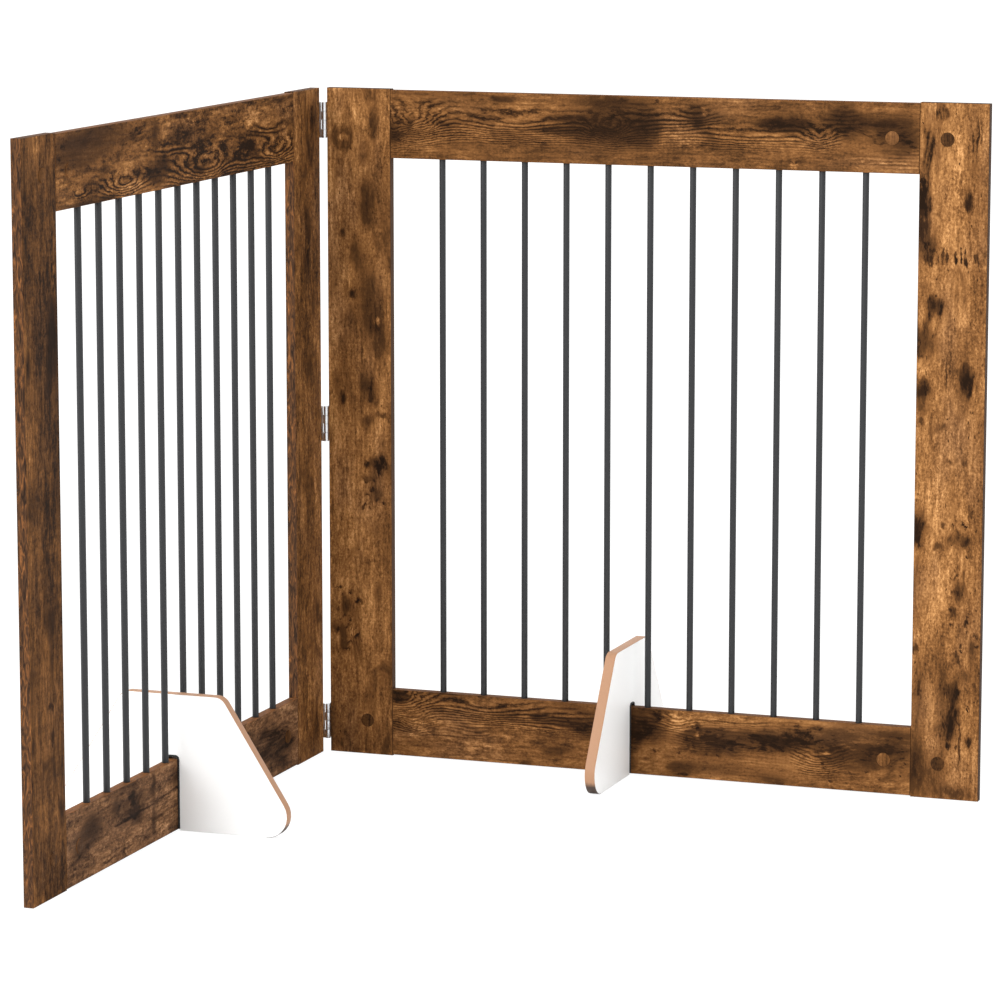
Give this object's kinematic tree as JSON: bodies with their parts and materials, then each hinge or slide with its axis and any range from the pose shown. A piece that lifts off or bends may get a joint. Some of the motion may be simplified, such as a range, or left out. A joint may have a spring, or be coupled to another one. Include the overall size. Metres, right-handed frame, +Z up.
{
  "type": "pet gate",
  "caption": "Free-standing folding pet gate of square board frames with upright metal rods, joined by butt hinges and held up by slotted support feet.",
  "frame": {"origin": "middle of the floor space that the gate takes when open to a right angle, on the floor", "axes": "+X along the right panel away from the hinges, -Y along the left panel away from the hinges, +Z up"},
  "size_m": [0.95, 0.95, 0.8],
  "materials": {
    "rustic_board": "rustic brown wood-grain laminate, satin, streaky edge bands",
    "black_rod": "charcoal powder coat, satin",
    "hinge_steel": "bright zinc plate",
    "cam_zinc": "plain cast zinc",
    "foot_board": "white laminate faces with a tan edge band",
    "slot_liner": "matte black",
    "dowel_wood": "plain beech"
  },
  "bodies": {
    "right_panel": {"right_hinge_stile": "rustic_board", "right_free_stile": "rustic_board", "right_bottom_rail": "rustic_board", "right_top_rail": "rustic_board", "right_rod_01": "black_rod", "right_rod_02": "black_rod", "right_rod_03": "black_rod", "right_rod_04": "black_rod", "right_rod_05": "black_rod", "right_rod_06": "black_rod", "right_rod_07": "black_rod", "right_rod_08": "black_rod", "right_rod_09": "black_rod", "right_rod_10": "black_rod", "right_rod_11": "black_rod", "right_bottom_hinge_connector": "cam_zinc", "right_bottom_hinge_dowel": "dowel_wood", "right_bottom_free_connector": "cam_zinc", "right_bottom_free_dowel": "dowel_wood", "right_top_hinge_connector": "cam_zinc", "right_top_hinge_dowel": "dowel_wood", "right_top_free_connector": "cam_zinc", "right_top_free_dowel": "dowel_wood", "bottom_hinge_right_leaf": "hinge_steel", "bottom_hinge_pin": "hinge_steel", "middle_hinge_right_leaf": "hinge_steel", "middle_hinge_pin": "hinge_steel", "top_hinge_right_leaf": "hinge_steel", "top_hinge_pin": "hinge_steel"},
    "left_panel": {"left_hinge_stile": "rustic_board", "left_free_stile": "rustic_board", "left_bottom_rail": "rustic_board", "left_top_rail": "rustic_board", "left_rod_01": "black_rod", "left_rod_02": "black_rod", "left_rod_03": "black_rod", "left_rod_04": "black_rod", "left_rod_05": "black_rod", "left_rod_06": "black_rod", "left_rod_07": "black_rod", "left_rod_08": "black_rod", "left_rod_09": "black_rod", "left_rod_10": "black_rod", "left_rod_11": "black_rod", "left_bottom_hinge_connector": "cam_zinc", "left_bottom_hinge_dowel": "dowel_wood", "left_bottom_free_connector": "cam_zinc", "left_bottom_free_dowel": "dowel_wood", "left_top_hinge_connector": "cam_zinc", "left_top_hinge_dowel": "dowel_wood", "left_top_free_connector": "cam_zinc", "left_top_free_dowel": "dowel_wood", "bottom_hinge_left_leaf": "hinge_steel", "middle_hinge_left_leaf": "hinge_steel", "top_hinge_left_leaf": "hinge_steel"},
    "right_foot": {"right_foot": "foot_board", "right_foot_liner": "slot_liner"},
    "left_foot": {"left_foot": "foot_board", "left_foot_liner": "slot_liner"}
  },
  "joints": [
    {"name": "panel_fold", "type": "hinge", "parent": "right_panel", "child": "left_panel", "pos_m": [-0.32618, 0.32618, 0.4], "axis": [0, 0, 1], "range_deg": [-90, 71]},
    {"name": "right_foot_lift", "type": "slide", "parent": "right_panel", "child": "right_foot", "axis": [0, 0, 1], "range_m": [0, 0.085]},
    {"name": "left_foot_lift", "type": "slide", "parent": "left_panel", "child": "left_foot", "axis": [0, 0, 1], "range_m": [0, 0.085]}
  ]
}
